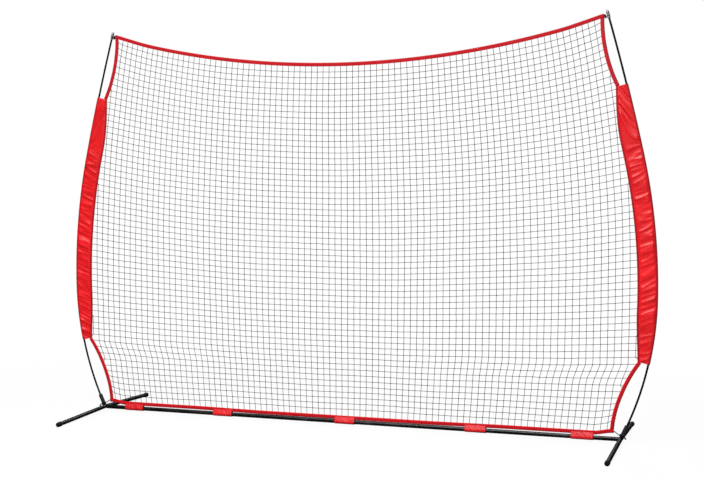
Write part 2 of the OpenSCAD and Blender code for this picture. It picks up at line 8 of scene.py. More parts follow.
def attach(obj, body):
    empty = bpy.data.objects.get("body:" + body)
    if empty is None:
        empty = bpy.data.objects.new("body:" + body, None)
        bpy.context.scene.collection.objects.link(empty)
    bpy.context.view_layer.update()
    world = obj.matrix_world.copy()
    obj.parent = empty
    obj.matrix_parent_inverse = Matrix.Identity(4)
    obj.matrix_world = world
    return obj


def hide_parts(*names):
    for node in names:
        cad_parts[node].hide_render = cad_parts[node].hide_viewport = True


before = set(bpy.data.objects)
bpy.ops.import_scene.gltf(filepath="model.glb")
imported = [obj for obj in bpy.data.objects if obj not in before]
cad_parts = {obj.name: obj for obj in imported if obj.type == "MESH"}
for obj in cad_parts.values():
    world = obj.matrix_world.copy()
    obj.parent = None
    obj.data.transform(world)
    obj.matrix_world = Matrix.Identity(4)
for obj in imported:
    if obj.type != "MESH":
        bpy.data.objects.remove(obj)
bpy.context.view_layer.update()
scene = bpy.context.scene
scene.view_settings.view_transform = "Standard"
sides = {"left": -1, "right": 1}
yAxis = Vector((0, 1, 0))
print("frame loaded:", len(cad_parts), "nodes")

# Camera at the photograph's view, for a 704 x 491 picture
cameraView = {
    "place": (2.798, -7.950, 1.682), "yaw": 19.04, "pitch": 3.13, "roll": -0.16,
    "lens": 64.59, "sensor": 36,
}


def makeCamera():
    yaw = math.radians(cameraView["yaw"])
    pitch = math.radians(cameraView["pitch"])
    ahead = Vector((-math.sin(yaw) * math.cos(pitch), math.cos(yaw) * math.cos(pitch), -math.sin(pitch)))
    data = bpy.data.cameras.new("photoCamera")
    data.lens = cameraView["lens"]
    data.sensor_width = cameraView["sensor"]
    camera = bpy.data.objects.new("photoCamera", data)
    scene.collection.objects.link(camera)
    roll = Matrix.Rotation(math.radians(cameraView["roll"]), 3, "Z")
    turn = ahead.to_track_quat("-Z", "Y").to_matrix() @ roll
    camera.matrix_world = Matrix.Translation(cameraView["place"]) @ turn.to_4x4()
    scene.camera = camera


makeCamera()

# Sizes that the part's own source uses, in metres and degrees
layout = {
    "hubX": 1.830, "barHeight": 0.034, "tubeR": 0.014, "gap": 0.0003,
    "socketR": 0.0135, "socketFloor": 0.020, "socketGrip": 0.073,
    "poleLean": 24.6, "sectionLength": 0.902, "bends": (2.060, 4.000, 14.500),
    "loopDrop": 0.026, "tabReach": 0.027, "neckR": 0.008,
    "bandW": 0.024, "bandT": 0.007, "topSag": 0.236, "upperBow": 0.027, "lowerBow": 0.032,
    "hemTop": 0.078, "hemEnd": 1.788,
    "sleeveStart": 0.487, "sleeveLength": 1.756, "sleeveW": 0.115, "sleeveEndW": 0.066,
    "sleeveTaper": 0.350, "sleeveR": 0.0098,
}
hub = Vector((layout["hubX"], 0, layout["barHeight"]))
hemZ = layout["hemTop"] - layout["bandW"] / 2


def along(lean):
    return Vector((math.sin(math.radians(lean)), 0, math.cos(math.radians(lean))))


def outward(lean):
    return Vector((math.cos(math.radians(lean)), 0, -math.sin(math.radians(lean))))


def turnOf(length, radius):
    return math.degrees(length / radius)


def arcPoint(start, lean, radius, turn):
    return start + radius * (outward(lean - turn) - outward(lean))


# The arc from one point to another that bows to the right of the way
def arcBetween(start, end, bow):
    chord = (end - start).length
    radius = (chord * chord / 4 + bow * bow) / (2 * bow)
    half = math.degrees(math.asin(chord / 2 / radius))
    way = end - start
    return start, math.degrees(math.atan2(way.x, way.z)) + half, radius, 2 * half


def arcShare(arc, share, shift=0.0):
    start, lean, radius, turn = arc
    return arcPoint(start, lean, radius, share * turn) + shift * outward(lean - share * turn)


def arcOutward(arc, share):
    return outward(arc[1] - share * arc[3])


def mix(a, b, share):
    return a + (b - a) * share


def ease(x):
    x = max(0.0, min(1.0, x))
    return x * x * (3 - 2 * x)


# The right pole's axis, section by section
poleSections = []
leanNow = layout["poleLean"] + turnOf(layout["socketGrip"], layout["bends"][0]) / 2
pointNow = hub + (layout["socketFloor"] + layout["gap"]) * along(layout["poleLean"])
for bend in layout["bends"]:
    poleSections.append((pointNow, leanNow, bend))
    sectionTurn = turnOf(layout["sectionLength"], bend)
    pointNow = arcPoint(pointNow, leanNow, bend, sectionTurn)
    leanNow -= sectionTurn


def polePlace(s):
    count = min(2, int(s / layout["sectionLength"]))
    start, lean, bend = poleSections[count]
    turn = turnOf(s - count * layout["sectionLength"], bend)
    return arcPoint(start, lean, bend, turn), lean - turn


def sleeveWide(k):
    reach = min(1.0, min(k, 1 - k) * layout["sleeveLength"] / layout["sleeveTaper"])
    return mix(layout["sleeveEndW"], layout["sleeveW"], math.sin(math.pi / 2 * reach))


def sleevePlace(k, u, y):
    point, lean = polePlace(layout["sleeveStart"] + k * layout["sleeveLength"])
    return point + u * outward(lean) + y * yAxis


loopPoint, loopLean = polePlace(3 * layout["sectionLength"] - layout["loopDrop"])
corner = loopPoint - (layout["tabReach"] + layout["gap"]) * outward(loopLean)
halfBand = layout["bandW"] / 2
topArc = arcBetween(Vector((-corner.x, 0, corner.z)), corner, layout["topSag"])
upperArc = arcBetween(corner - halfBand * outward(loopLean),
                      sleevePlace(1, halfBand - sleeveWide(1), 0), layout["upperBow"])
lowerArc = arcBetween(sleevePlace(0, halfBand - sleeveWide(0), 0),
                      Vector((layout["hemEnd"] - halfBand, 0, layout["hemTop"])), layout["lowerBow"])

# The pull on the net's corners lifts the cloth near them
pullShape = {
    "top": 0.010, "topX": 1.42, "topReach": 0.30, "topZ": 2.18, "topDepth": 0.35,
    "foot": 0.017, "footX": 1.66, "footReach": 0.12, "footZ": 0.10, "footDepth": 0.25,
}


def pulled(p):
    v = pullShape
    top = v["top"] * ease((abs(p.x) - v["topX"]) / v["topReach"])
    top *= ease((p.z - v["topZ"]) / v["topDepth"])
    foot = v["foot"] * ease((abs(p.x) - v["footX"]) / v["footReach"])
    foot *= 1 - ease((p.z - v["footZ"]) / v["footDepth"])
    return Vector((p.x, p.y, p.z + top + foot))


# One socket of a node tree: sums and products of values add Math nodes, and node() adds any other
class Shade:
    def __init__(self, tree, socket=None):
        self.tree = tree
        self.socket = socket

    def node(self, kind, settings=None, values=None, output=0):
        made = self.tree.nodes.new(kind)
        for name, value in (settings or {}).items():
            setattr(made, name, value)
        for name, value in (values or {}).items():
            if isinstance(value, Shade):
                self.tree.links.new(value.socket, made.inputs[name])
            else:
                made.inputs[name].default_value = value
        return Shade(self.tree, made.outputs[output] if made.outputs else None)

    def maths(self, operation, first, second=0.0):
        return self.node("ShaderNodeMath", {"operation": operation}, {0: first, 1: second})

    def __add__(self, other):
        return self.maths("ADD", self, other)

    def __radd__(self, other):
        return self.maths("ADD", other, self)

    def __sub__(self, other):
        return self.maths("SUBTRACT", self, other)

    def __rsub__(self, other):
        return self.maths("SUBTRACT", other, self)

    def __mul__(self, other):
        return self.maths("MULTIPLY", self, other)

    def wave(self):
        return self.maths("SINE", self) * 0.5 + 0.5

    def size(self):
        return self.maths("ABSOLUTE", self)

    def step(self, low, high):
        return self.node("ShaderNodeMapRange", {"interpolation_type": "SMOOTHSTEP"},
                         {0: self, 1: low, 2: high})

    def part(self, axis):
        return self.node("ShaderNodeSeparateXYZ", None, {0: self}, "XYZ".index(axis))

    def place(self):
        return self.node("ShaderNodeTexCoord", None, None, "Object")

    def cloth(self):
        return self.node("ShaderNodeUVMap", {"uv_map": "cloth"})

    def stretched(self, scale):
        return self.node("ShaderNodeMapping", None, {"Vector": self, "Scale": scale})

    def cloud(self, scale, detail=2.0, rough=0.5):
        return self.node("ShaderNodeTexNoise", None,
                         {"Vector": self, "Scale": scale, "Detail": detail, "Roughness": rough})

    def cells(self, scale):
        return self.node("ShaderNodeTexVoronoi", None, {"Vector": self, "Scale": scale})

    def blend(self, first, second):
        return self.node("ShaderNodeMix", {"data_type": "RGBA"},
                         {0: self, 6: asColour(first), 7: asColour(second)}, 2)

    def bump(self, distance, strength=1.0):
        return self.node("ShaderNodeBump", None,
                         {"Height": self, "Distance": distance, "Strength": strength})


def asColour(value):
    return value if isinstance(value, Shade) else (*value, 1)


# A finish is a material whose paint function gives the values of one Principled shader
def makeFinish(name, paint, values):
    material = bpy.data.materials.new(name)
    material.use_nodes = True
    material.node_tree.nodes.clear()
    root = Shade(material.node_tree)
    inputs = {**paint(root, values), **values.get("shader", {})}
    surface = root.node("ShaderNodeBsdfPrincipled", None, inputs)
    root.node("ShaderNodeOutputMaterial", None, {"Surface": surface})
    return material


# Powder coat: orange peel, a little dust in the hollows, and a greyer plated socket above the tubes; on
# the bar the lighter tone is painted sheen as well as dust
tubePaint = {
    "black": (0.0015, 0.0015, 0.002), "dust": (0.012, 0.012, 0.013), "plate": (0.07, 0.072, 0.074),
    "peel": 700, "plateFrom": 0.054, "plateTo": 0.060,
    "shader": {"Specular IOR Level": 0.3, "Coat Weight": 0.05, "Coat Roughness": 0.2},
}
# The bar's copy: a lighter tone that is painted sheen, standing in for the light along the bar, as well
# as dust
barPaintWithSheen = {**tubePaint, "black": (0.002, 0.002, 0.0025), "dust": (0.034, 0.034, 0.036)}


def paintTube(root, v):
    place = root.place()
    cloudy = place.cloud(9, 3)
    peel = place.cloud(v["peel"], 2)
    scuffs = place.stretched((3, 3, 40)).cloud(14, 4, 0.7).step(0.60, 0.78)
    plated = place.part("Z").step(v["plateFrom"], v["plateTo"])
    colour = (cloudy.step(0.45, 0.8) * 0.5 + scuffs * 0.25).blend(v["black"], v["dust"])
    return {
        "Base Color": plated.blend(colour, v["plate"]),
        "Metallic": plated * 0.75,
        "Roughness": 0.30 + cloudy * 0.10 + scuffs * 0.1 - plated * 0.10,
        "Normal": (peel * (1 - plated * 0.7)).bump(0.00025, 0.5),
    }


# Moulded rubber: matt, with a mottled skin and grit on the sole
rubberSkin = {
    "black": (0.003, 0.003, 0.0035), "grey": (0.035, 0.034, 0.033), "gritTo": 0.006,
    "shader": {"Specular IOR Level": 0.3},
}


def paintRubber(root, v):
    place = root.place()
    mottle = place.cloud(60, 4, 0.6)
    grain = place.cells(1400)
    low = 1 - place.part("Z").step(0.0, v["gritTo"])
    return {
        "Base Color": (mottle.step(0.5, 0.85) * 0.35 + low * 0.5).blend(v["black"], v["grey"]),
        "Roughness": 0.55 + mottle * 0.25,
        "Normal": (grain * 0.6 + mottle).bump(0.0003, 0.5),
    }


# Glass-fibre rod: black resin with faint lengthwise fibres under a gloss
rodSkin = {
    "black": (0.002, 0.002, 0.0025), "fibre": (0.022, 0.023, 0.024),
    "shader": {"Specular IOR Level": 0.3, "Coat Weight": 0.15, "Coat Roughness": 0.15},
}


def paintRod(root, v):
    place = root.place()
    fibres = place.stretched((900, 900, 12)).cloud(1, 3, 0.6)
    rubbed = place.cloud(16, 3).step(0.55, 0.8)
    return {
        "Base Color": (fibres.step(0.5, 0.8) * 0.55 + rubbed * 0.2).blend(v["black"], v["fibre"]),
        "Roughness": 0.26 + fibres * 0.12 + rubbed * 0.15,
        "Normal": fibres.bump(0.0001, 0.4),
    }


# Bare or plated metal with fine drawn lines
def paintMetal(root, v):
    place = root.place()
    lines = place.stretched(v["lines"]).cloud(1, 2, 0.6)
    stains = place.cloud(45, 3).step(0.55, 0.85)
    return {
        "Base Color": (stains * 0.5 + lines * 0.3).blend(v["bright"], v["dull"]),
        "Metallic": 1 - stains * 0.2,
        "Roughness": v["rough"] + lines * 0.15 + stains * 0.15,
        "Normal": lines.bump(0.00008, 0.4),
    }


drawnSteel = {
    "bright": (0.45, 0.45, 0.47), "dull": (0.24, 0.23, 0.22),
    "lines": (8, 900, 900), "rough": 0.3,
}
platedSteel = {
    "bright": (0.66, 0.66, 0.68), "dull": (0.42, 0.41, 0.40),
    "lines": (300, 300, 300), "rough": 0.16,
}
bluedSteel = {
    "bright": (0.30, 0.33, 0.38), "dull": (0.16, 0.16, 0.17),
    "lines": (10, 900, 900), "rough": 0.28,
}
tipMetal = {
    "bright": (0.38, 0.385, 0.39), "dull": (0.22, 0.22, 0.22),
    "lines": (60, 60, 1500), "rough": 0.46,
}

# Moulded plastic of the bushing
bushingSkin = {"dark": (0.02, 0.02, 0.021), "pale": (0.055, 0.055, 0.057)}


def paintPlastic(root, v):
    place = root.place()
    grain = place.cells(1900)
    cloudy = place.cloud(70, 3)
    return {
        "Base Color": (cloudy.step(0.4, 0.9) * 0.5).blend(v["dark"], v["pale"]),
        "Roughness": 0.42 + cloudy * 0.15,
        "Normal": grain.bump(0.00012, 0.5),
    }


# Painted shade: cloth near the top of the net is painted a little darker, as if less light fell there
def paintedShadeAbove(root, colour, v):
    if "highDark" not in v:
        return colour
    high = root.place().part("Z").step(v["highFrom"], v["highTo"])
    return (high * v["highShare"]).blend(colour, v["highDark"])


# Woven cloth on a uv map in metres: threads both ways, broad fading, and painted shade near the top,
# along the fold and along the lower edge
def paintCloth(root, v):
    cloth = root.cloth()
    across = cloth.part("X")
    length = cloth.part("Y")
    warp = (across * (math.tau / v["thread"])).wave()
    weft = (length * (math.tau / v["thread"])).wave()
    over = ((across + length) * (math.tau / v["thread"] / 4)).wave().step(0.3, 0.7)
    weave = warp * over + weft * (1 - over)
    fade = root.place().cloud(5, 3)
    slub = cloth.stretched((900, 60, 1)).cloud(1, 2)
    colour = (fade.step(0.3, 0.75) * 0.6 + slub * 0.25).blend(v["deep"], v["bright"])
    colour = paintedShadeAbove(root, colour, v)
    # Painted shade along the sleeve's fold round the pole, where the cloth turns away from the light
    if "foldAt" in v:
        away = (across - v["foldAt"]).size().step(v["foldFrom"], v["foldTo"])
        colour = away.blend(v["foldDark"], colour)
    # Painted shade on the lower edge, where the strap turns under the bar
    if "lowDark" in v:
        colour = root.place().part("Z").step(v["lowFrom"], v["lowTo"]).blend(v["lowDark"], colour)
    return {
        "Base Color": (weave * 0.16).blend(colour, v["deep"]),
        "Roughness": v["rough"] + weave * 0.12 + fade * 0.06,
        "Normal": (weave + slub * 0.6).bump(v["relief"], 0.5),
    }


satinRed = {
    "bright": (0.80, 0.001, 0.006), "deep": (0.60, 0.0, 0.003),
    "thread": 0.0016, "relief": 0.00007, "rough": 0.34,
    # The fold colour is painted shade along the sleeve's edge round the pole
    "foldAt": 0.1304, "foldFrom": 0.011, "foldTo": 0.018, "foldDark": (0.33, 0.001, 0.006),
    # highDark: painted shade, the satin darker towards the top of the net
    "highDark": (0.42, 0.0, 0.002), "highShare": 0.40, "highFrom": 1.30, "highTo": 2.00,
    "shader": {"Specular IOR Level": 0.62},
}
strapRed = {
    "bright": (0.78, 0.004, 0.010), "deep": (0.54, 0.001, 0.005),
    "thread": 0.0020, "relief": 0.0001, "rough": 0.36,
    # lowDark: painted shade on the strap's underside below the bar
    "lowDark": (0.24, 0.001, 0.004), "lowFrom": 0.019, "lowTo": 0.029,
    "shader": {"Specular IOR Level": 0.6},
}


# Ribbed tape: ribs across its width, with the two rims a little brighter
def paintTape(root, v):
    cloth = root.cloth()
    across = cloth.part("X")
    ribs = (cloth.part("Y") * (math.tau / v["rib"])).wave()
    threads = (across * (math.tau / v["rib"] / 0.6)).wave()
    fade = root.place().cloud(7, 3)
    rim = (across - v["middle"]).size().step(v["rimFrom"], v["rimTo"])
    colour = (fade * 0.5 + rim * 0.7).blend(v["deep"], v["bright"])
    colour = paintedShadeAbove(root, colour, v)
    return {
        "Base Color": (ribs * 0.2).blend(colour, v["deep"]),
        "Roughness": 0.5 + ribs * 0.2,
        "Normal": (ribs + threads * 0.4).bump(v["relief"], 0.6),
    }


tapeRed = {
    "bright": (0.68, 0.003, 0.010), "deep": (0.38, 0.001, 0.006), "rib": 0.0018, "relief": 0.0003,
    "middle": 0.027, "rimFrom": 0.017, "rimTo": 0.026, "shader": {"Specular IOR Level": 0.25},
    # highDark: painted shade, the tape darker towards the top of the net
    "highDark": (0.33, 0.001, 0.006), "highShare": 0.65, "highFrom": 1.90, "highTo": 2.35,
}
bindingRed = {
    "bright": (0.42, 0.002, 0.008), "deep": (0.27, 0.001, 0.005), "rib": 0.0015, "relief": 0.0002,
    "middle": 0.0135, "rimFrom": 0.008, "rimTo": 0.013, "shader": {"Specular IOR Level": 0.25},
}
webbingBlack = {
    "bright": (0.016, 0.016, 0.017), "deep": (0.004, 0.004, 0.005), "rib": 0.0022, "relief": 0.0004,
    "middle": 0.013, "rimFrom": 0.009, "rimTo": 0.013, "shader": {"Specular IOR Level": 0.2},
}


# Twisted yarn for the twine, the cord and the stitches
def paintYarn(root, v):
    place = root.place()
    strands = place.stretched((1, 1, 0.55)).cells(v["strand"])
    fade = place.cloud(4, 3)
    return {
        "Base Color": (strands.step(0.1, 0.6) * 0.6 + fade * 0.4).blend(v["light"], v["dark"]),
        "Roughness": 0.62 + strands * 0.2,
        "Normal": (1 - strands).bump(v["relief"], 0.6),
    }


mattYarn = {"Specular IOR Level": 0.15}
twineYarn = {
    "light": (0.020, 0.021, 0.022), "dark": (0.005, 0.005, 0.006), "strand": 900, "relief": 0.0004,
    "shader": mattYarn,
}
cordYarn = {
    "light": (0.014, 0.014, 0.014), "dark": (0.003, 0.003, 0.003), "strand": 800, "relief": 0.0005,
    "shader": mattYarn,
}
threadRed = {
    "light": (0.62, 0.008, 0.014), "dark": (0.40, 0.003, 0.008), "strand": 2500, "relief": 0.0001,
    "shader": mattYarn,
}
threadBlack = {
    "light": (0.05, 0.05, 0.05), "dark": (0.015, 0.015, 0.015), "strand": 2500, "relief": 0.0001,
    "shader": mattYarn,
}

finishes = {
    "tube": makeFinish("powderCoat", paintTube, tubePaint),
    "bar": makeFinish("barPowderCoatPaintedSheen", paintTube, barPaintWithSheen),
    "rubber": makeFinish("capRubber", paintRubber, rubberSkin),
    "rod": makeFinish("glassFibre", paintRod, rodSkin),
    "innerSteel": makeFinish("drawnSteel", paintMetal, drawnSteel),
    "ferrule": makeFinish("ferruleSteel", paintMetal, drawnSteel),
    "button": makeFinish("platedSteel", paintMetal, platedSteel),
    "spring": makeFinish("bluedSteel", paintMetal, bluedSteel),
    "tip": makeFinish("tipMetal", paintMetal, tipMetal),
    "bushing": makeFinish("bushingPlastic", paintPlastic, bushingSkin),
    "satin": makeFinish("sleeveSatin", paintCloth, satinRed),
    "strap": makeFinish("strapCloth", paintCloth, strapRed),
    "tape": makeFinish("edgeTape", paintTape, tapeRed),
    "binding": makeFinish("sleeveBinding", paintTape, bindingRed),
    "webbing": makeFinish("loopWebbing", paintTape, webbingBlack),
    "twine": makeFinish("netTwine", paintYarn, twineYarn),
    "cord": makeFinish("braidedCord", paintYarn, cordYarn),
    "redThread": makeFinish("redThread", paintYarn, threadRed),
    "blackThread": makeFinish("blackThread", paintYarn, threadBlack),
}
nodeFinish = {
    "foot_": "tube", "bar_": "bar", "cap_": "rubber", "pole_": "rod", "bushing_": "bushing",
    "joiner_": "innerSteel", "ferrule_": "ferrule", "button_": "button", "spring_": "spring",
    "tip_": "tip",
}
for name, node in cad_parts.items():
    for start, finish in nodeFinish.items():
        if name.startswith(start):
            for slot in node.material_slots:
                slot.material = finishes[finish]
print("finishes made:", len(finishes))


def addPiece(data, name, finish, body, replaced=()):
    piece = bpy.data.objects.new(name, data)
    scene.collection.objects.link(piece)
    data.materials.append(finishes[finish])
    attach(piece, body)
    if replaced:
        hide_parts(*replaced)
    return piece


# A grid of cloth laid where place(across, along) says, with a uv map of its flat size
def clothMesh(name, columns, rows, flat, place, seamed=False):
    shape = bmesh.new()
    uv = shape.loops.layers.uv.new("cloth")
    bmesh.ops.create_grid(shape, x_segments=columns, y_segments=rows, size=0.5, calc_uvs=True)
    for face in shape.faces:
        face.smooth = True
        for loop in face.loops:
            loop[uv].uv = ((loop.vert.co.x + 0.5) * flat[0], (loop.vert.co.y + 0.5) * flat[1])
    for vert in shape.verts:
        vert.co = place(vert.co.x + 0.5, vert.co.y + 0.5)
    if seamed:
        bmesh.ops.remove_doubles(shape, verts=shape.verts, dist=0.00002)
    bmesh.ops.recalc_face_normals(shape, faces=shape.faces)
    mesh = bpy.data.meshes.new(name)
    shape.to_mesh(mesh)
    shape.free()
    return mesh


def thicken(piece, thickness, offset=0.0):
    solid = piece.modifiers.new("ply", "SOLIDIFY")
    solid.thickness = thickness
    solid.offset = offset
    solid.use_even_offset = True


# Round strands in one curve: each path is a list of (point, share of the radius)
def strandCurve(name, paths, radius, roundness):
    curve = bpy.data.curves.new(name, "CURVE")
    curve.dimensions = "3D"
    curve.bevel_depth = radius
    curve.bevel_resolution = roundness
    curve.use_fill_caps = True
    for path in paths:
        spline = curve.splines.new("POLY")
        spline.points.add(len(path) - 1)
        for point, (place, share) in zip(spline.points, path):
            point.co = (*place, 1)
            point.radius = share
        spline.use_smooth = True
    return curve


# Stitches along a line: short threads that lie on the cloth
stitchSize = {
    "pitch": 0.0052, "length": 0.0036, "radius": 0.0004, "lift": 0.0004, "endLift": 0.3, "endShare": 0.7,
}


def stitchPaths(line, lift):
    v = stitchSize
    low = lift * v["endLift"]
    paths = []
    way = 0.0
    for first, second in zip(line, line[1:]):
        step = (second - first).length
        room = step - v["length"] if second is line[-1] else step
        while way < room:
            start = first.lerp(second, way / step)
            tip = start + (second - first).normalized() * v["length"]
            middle = (start.lerp(tip, 0.5) + lift, 1.0)
            paths.append([(start + low, v["endShare"]), middle, (tip + low, v["endShare"])])
            way += v["pitch"]
        way -= step
    return paths


# Weld beads where each pole socket stands on its legs
weldShape = {"radius": 0.0019, "ripple": 0.3, "lumps": 30, "steps": 120, "proud": 0.0004}


def weldRoute(side):
    v = weldShape
    reach = layout["socketR"] + v["proud"]
    path = []
    for i in range(v["steps"] + 1):
        turn = math.tau * i / v["steps"]
        aside = reach * math.cos(turn)
        rise = math.sqrt((layout["tubeR"] + v["proud"]) ** 2 - aside ** 2)
        p = hub + rise * along(layout["poleLean"]) + aside * outward(layout["poleLean"])
        p += reach * math.sin(turn) * yAxis
        thick = 1 + v["ripple"] * abs(math.sin(v["lumps"] * turn / 2))
        path.append((Vector((side * p.x, p.y, p.z)), thick))
    return path


for sideName, side in sides.items():
    bead = strandCurve("weldBead_" + sideName, [weldRoute(side)], weldShape["radius"], 2)
    addPiece(bead, "weldBead_" + sideName, "tube", "frame")
print("weld beads laid")

# Cords at the lower corners: from the hem's end round the socket, with a short knotted tail
cordShape = {
    "diameter": 0.0060, "ringRise": 0.0072, "ringEnd": 272.0, "steps": 34, "leadSteps": 8,
    "tail": 0.030, "droop": 0.010, "tailSteps": 8, "knot": [1.0, 1.7, 1.7, 0.8],
}


def cordRoute(side):
    v = cordShape
    lean = layout["poleLean"]
    centre = hub + layout["socketFloor"] * along(lean)
    reach = layout["socketR"] + layout["gap"] + v["diameter"] / 2
    start = pulled(Vector((layout["hemEnd"] + layout["gap"], 0, hemZ)))
    apart = (centre - start).dot(outward(lean))
    first = -(180 - math.degrees(math.acos(reach / apart)))
    last = v["ringEnd"]
    route = [start]

    def onRing(angle):
        turn = math.radians(angle)
        rise = v["ringRise"] * (angle - first) / (last - first)
        spoke = math.cos(turn) * outward(lean) + math.sin(turn) * yAxis
        return centre + reach * spoke + rise * along(lean)

    joined = onRing(first)
    for i in range(1, v["leadSteps"]):
        route.append(start.lerp(joined, i / v["leadSteps"]))
    for i in range(v["steps"] + 1):
        route.append(onRing(mix(first, last, i / v["steps"])))
    end = route[-1]
    for i in range(1, v["tailSteps"] + 1):
        share = i / v["tailSteps"]
        out = v["tail"] * share * outward(lean)
        route.append(end + out - v["droop"] * share * share * along(lean))
    return [Vector((side * p.x, p.y, p.z)) for p in route]


for sideName, side in sides.items():
    route = cordRoute(side)
    shares = [1.0] * (len(route) - len(cordShape["knot"])) + cordShape["knot"]
    name = "cornerCord_" + sideName
    curve = strandCurve(name, [list(zip(route, shares))], cordShape["diameter"] / 2, 3)
    cord = addPiece(curve, name, "cord", "frame", ["cord_" + sideName])
    cordLength = sum((b - a).length for a, b in zip(route, route[1:]))
    tuple(route[0])
print("corner cords laid, each", round(cordLength, 3), "m")

# Sleeves: two plies of satin round the pole, creased by the pull of the net's corners
sleeveShape = {
    "rows": 420, "columns": 64, "ply": 0.0009, "seamHalf": 0.0022, "round": 0.10,
    "mainCrease": 0.0095, "mainSpan": 0.080, "fineCrease": 0.0042, "fineSpan": 0.038,
    "broadSwell": 0.0030, "broadSpan": 0.26, "slantLow": 0.60, "slantMid": 0.22, "slantHigh": -2.2,
    "slantHalf": 0.5, "slantTurn": 0.74, "slantRamp": 0.18,
    "mainDrift": 0.35, "fineDrift": 0.6, "broadDrift": 0.7,
    "holdLeast": 0.35, "holdGain": 0.9, "holdSpan": 0.16, "sink": 0.001,
    "bareEdge": 0.10, "bareRamp": 0.14, "poleRamp": 0.12, "seamReach": 1.08, "leastHalf": 0.0012,
    "areaShare": 0.92, "stitchRows": (0.006, 0.012, 0.988, 0.994), "stitchSteps": 24,
    "seeds": {"left": 57.1, "right": 3.3}, "backSeed": 31.0,
}
creaseSharp = 2.4


def ridge(value):
    return 1 - min(1.0, abs(value) * creaseSharp)


def creaseAt(k, q, seed):
    v = sleeveShape
    s = k * layout["sleeveLength"]
    slant = mix(v["slantLow"], v["slantMid"], ease(k / v["slantHalf"]))
    if k > v["slantHalf"]:
        slant = mix(v["slantMid"], v["slantHigh"], ease((k - v["slantTurn"]) / v["slantRamp"]))
    phase = s + slant * q * sleeveWide(k)
    main = ridge(noise.noise(Vector((phase / v["mainSpan"], q * v["mainDrift"], seed))))
    fine = ridge(noise.noise(Vector((phase / v["fineSpan"], q * v["fineDrift"], seed + 9.7))))
    broad = noise.noise(Vector((s / v["broadSpan"], q * v["broadDrift"], seed + 4.2)))
    loose = ease(0.5 + v["holdGain"] * noise.noise(Vector((s / v["holdSpan"], q, seed + 2.6))))
    hold = v["holdLeast"] + (1 - v["holdLeast"]) * loose
    return v["mainCrease"] * main * hold + v["fineCrease"] * fine + v["broadSwell"] * broad - v["sink"]


def sleeveSkin(t, k, seed):
    v = sleeveShape
    wide = sleeveWide(k)
    ply = (1 - v["round"]) / 2
    if ply < t < 1 - ply:
        angle = math.radians(mix(-90, 90, (t - ply) / v["round"]))
        radius = layout["sleeveR"]
        return radius * math.cos(angle), radius * math.sin(angle)
    front = t <= ply
    q = 1 - t / ply if front else 1 - (1 - t) / ply
    half = mix(layout["sleeveR"], v["seamHalf"], min(1.0, q * v["seamReach"]))
    hold = ease((1 - q - v["bareEdge"]) / v["bareRamp"]) * ease(q / v["poleRamp"])
    push = hold * creaseAt(k, q, seed if front else seed + v["backSeed"])
    half = max(v["leastHalf"], half + push)
    if q > 0.999:
        half = 0.0
    return -q * wide, -half if front else half


def makeSleeve(sideName, side):
    v = sleeveShape
    seed = v["seeds"][sideName]

    def place(t, k):
        u, y = sleeveSkin(t, k, seed)
        p = sleevePlace(k, u, y)
        return Vector((side * p.x, p.y, p.z))

    girth = 2 * layout["sleeveW"] + math.pi * layout["sleeveR"]
    name = "sleeve." + sideName
    mesh = clothMesh(name, v["columns"], v["rows"], (girth, layout["sleeveLength"]), place, True)
    sleeve = addPiece(mesh, name, "satin", "frame", ["sleeve_" + sideName])
    thicken(sleeve, v["ply"], -1.0)
    stitches = []
    for k in v["stitchRows"]:
        for start, end, face in ((0.04, 0.44, -1), (0.56, 0.96, 1)):
            line = [place(mix(start, end, i / v["stitchSteps"]), k) for i in range(v["stitchSteps"] + 1)]
            stitches += stitchPaths(line, face * stitchSize["lift"] * yAxis)
    return stitches


redStitches = []
for sideName, side in sides.items():
    redStitches += makeSleeve(sideName, side)
print("sleeves made")

# Edge bands: a ribbed tape folded over the net's edge, open towards the net
tapeShape = {
    "ply": 0.0012, "fold": 0.0060, "columns": 14, "step": 0.010, "ripple": 0.0007, "seamIn": 0.004,
    "pinch": 0.35, "pinchSpan": 0.002, "stitchAt": 0.35, "rippleScale": 22, "edgeStep": 0.002,
    "bindingW": 0.012, "bindingIn": 0.005, "hemSag": 0.0045, "sagHalf": 0.55, "sagRamp": 0.6,
    "tuckIn": 0.017, "tuckRamp": 0.012, "tuckShare": 0.34,
}


# centre(share) gives a point of the band's middle line and the direction away from the net,
# and press(share) flattens an end that is sewn into another band
def tapePlace(centre, width, seed, press):
    v = tapeShape
    fold = v["fold"]
    half = width / 2
    straight = width - fold / 2
    girth = 2 * straight + math.pi * fold / 2

    def place(t, share):
        point, away = centre(share)
        way = t * girth
        if way < straight:
            n, y = way - half, -fold / 2
        elif way > girth - straight:
            n, y = girth - way - half, fold / 2
        else:
            turn = (way - straight) / (fold / 2) - math.pi / 2
            n, y = half - fold / 2 + fold / 2 * math.cos(turn), fold / 2 * math.sin(turn)
        sway = v["ripple"] * noise.noise(point * v["rippleScale"] + Vector((seed, n * 30, y * 90)))
        pinch = v["pinch"] * y * math.exp(-((n + half - v["seamIn"]) / v["pinchSpan"]) ** 2)
        return pulled(point + n * away + press(share) * (y - pinch + sway) * yAxis)

    return place, girth


